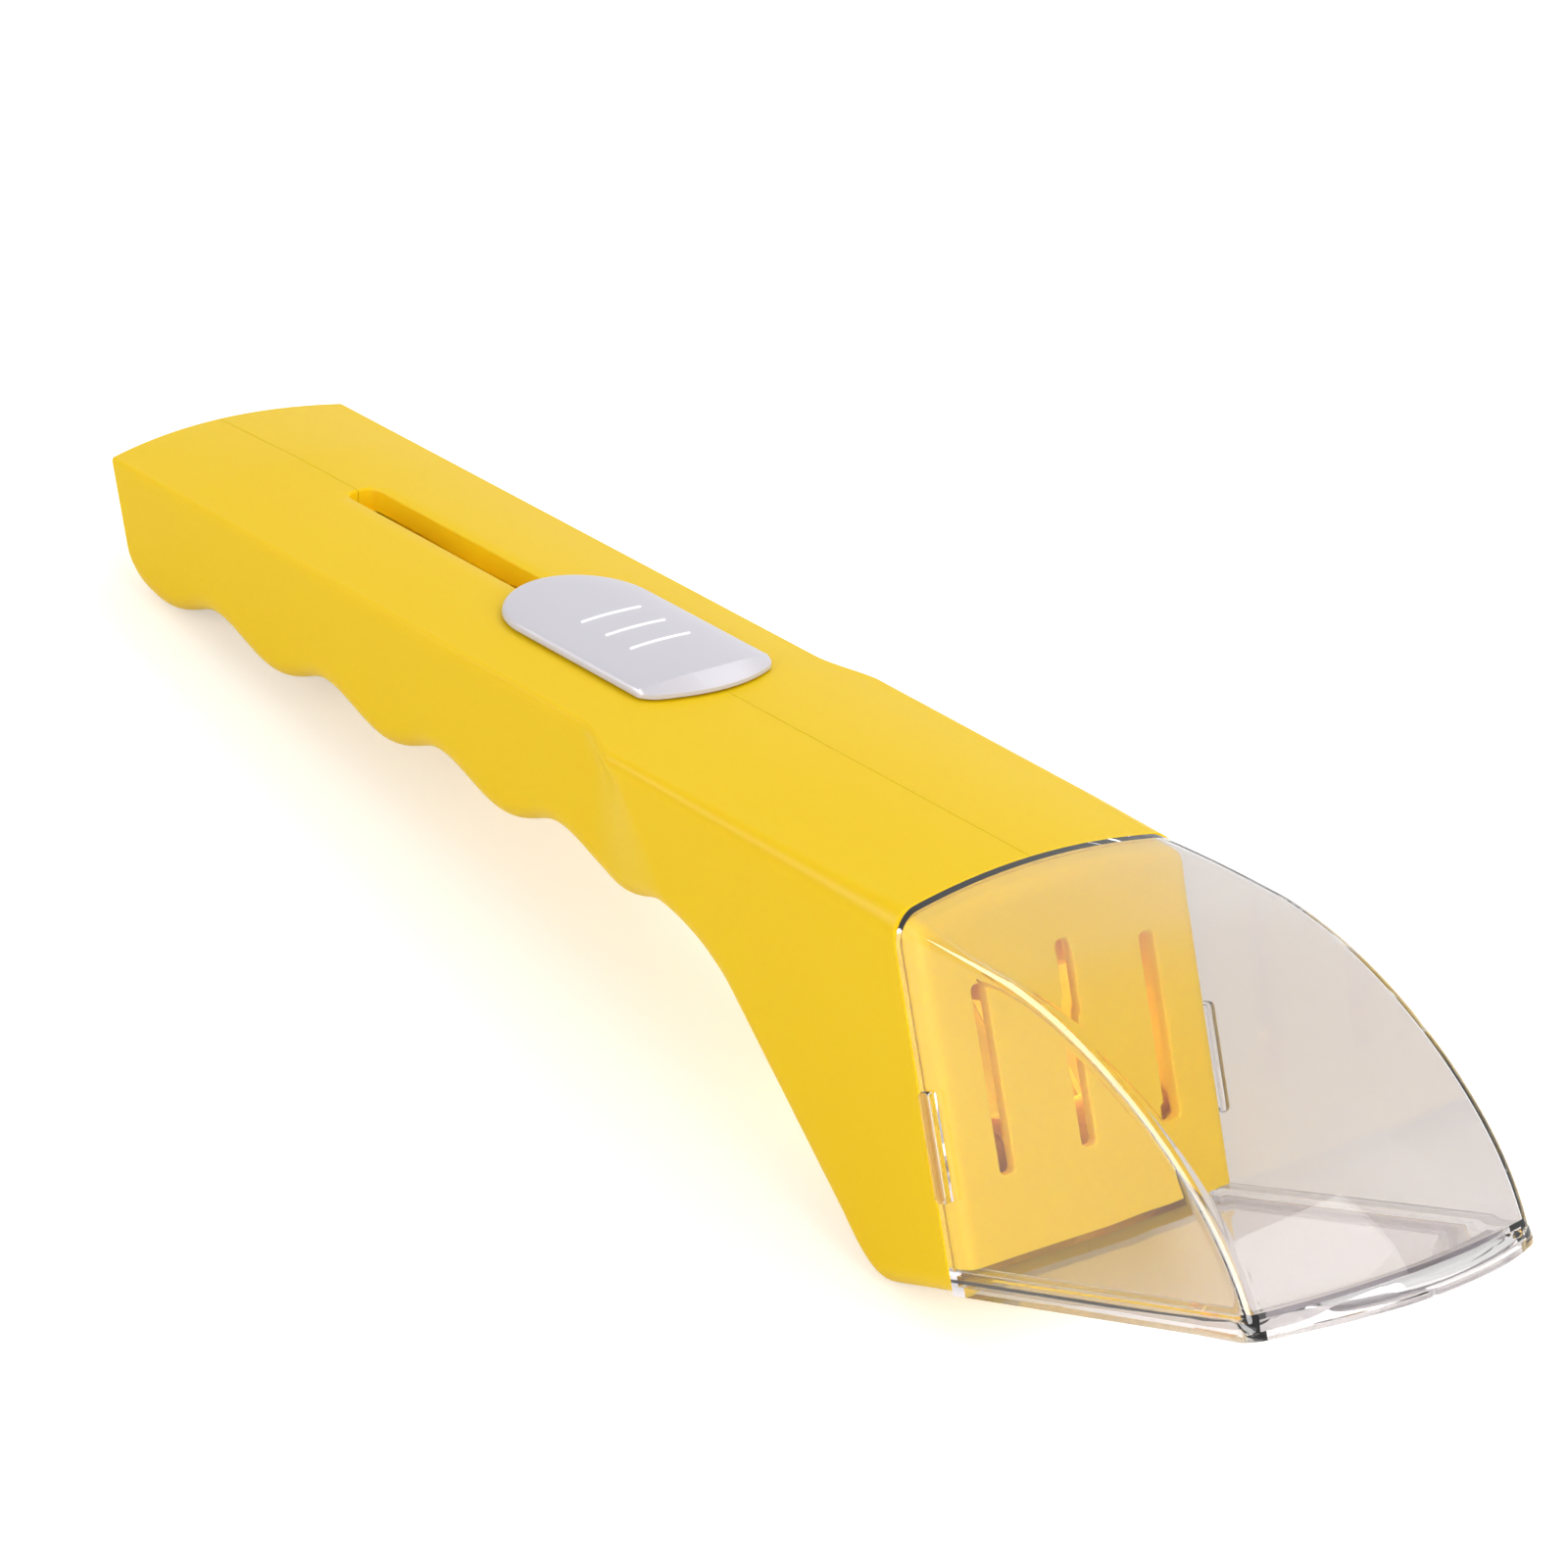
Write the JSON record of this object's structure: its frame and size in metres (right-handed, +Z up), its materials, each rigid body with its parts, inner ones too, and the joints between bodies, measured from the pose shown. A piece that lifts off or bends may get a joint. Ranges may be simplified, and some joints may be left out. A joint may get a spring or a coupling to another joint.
{
  "type": "spider catcher",
  "caption": "Hand-held catcher with a hollow finger-grip handle, a clear scoop cup and a sliding door over its mouth, worked by a thumb slide.",
  "frame": {"origin": "centre of the bounding box in plan, on the floor that the tool lies on", "axes": "+X from the handle's end towards the cup, along the tool's longest extent; +Y to the tool's left, across it, its shortest extent; +Z up"},
  "size_m": [0.2908, 0.0526, 0.064],
  "materials": {
    "right_shell": "moulded yellow plastic, satin",
    "left_shell": "moulded yellow plastic, satin",
    "front_plate": "moulded yellow plastic, satin",
    "cup": "clear moulded plastic, polished",
    "door_sheet": "clear plastic sheet, polished",
    "door_edge_bar": "smoky clear plastic, polished",
    "thumb_slide": "pale grey moulded plastic, smooth",
    "carriage": "white slippery plastic, matt",
    "sheet_clamp": "white plastic, matt",
    "body_screw_1": "zinc-plated steel, bright",
    "body_screw_2": "zinc-plated steel, bright",
    "body_screw_3": "zinc-plated steel, bright",
    "body_screw_4": "zinc-plated steel, bright",
    "body_screw_5": "zinc-plated steel, bright",
    "clamp_screw_1": "zinc-plated steel, bright",
    "clamp_screw_2": "zinc-plated steel, bright"
  },
  "bodies": {
    "body": {"right_shell": "right_shell", "left_shell": "left_shell", "front_plate": "front_plate", "cup": "cup", "body_screw_1": "body_screw_1", "body_screw_2": "body_screw_2", "body_screw_3": "body_screw_3", "body_screw_4": "body_screw_4", "body_screw_5": "body_screw_5"},
    "thumb": {"thumb_slide": "thumb_slide", "carriage": "carriage", "sheet_clamp": "sheet_clamp", "clamp_screw_1": "clamp_screw_1", "clamp_screw_2": "clamp_screw_2"},
    "door": {"door_edge_bar": "door_edge_bar", "door_sheet": "door_sheet"}
  },
  "joints": [
    {"name": "thumb_travel", "type": "slide", "parent": "body", "child": "thumb", "axis": [-0.9832, 0, -0.1827], "range_m": [0, 0.06184]},
    {"name": "door_travel", "type": "slide", "parent": "body", "child": "door", "axis": [-0.8778, 0, -0.4791], "range_m": [0, 0.06184], "deforming": ["door_sheet"]}
  ],
  "couplings": [
    {"joint": "door_travel", "follows": "thumb_travel", "ratio": 1}
  ]
}
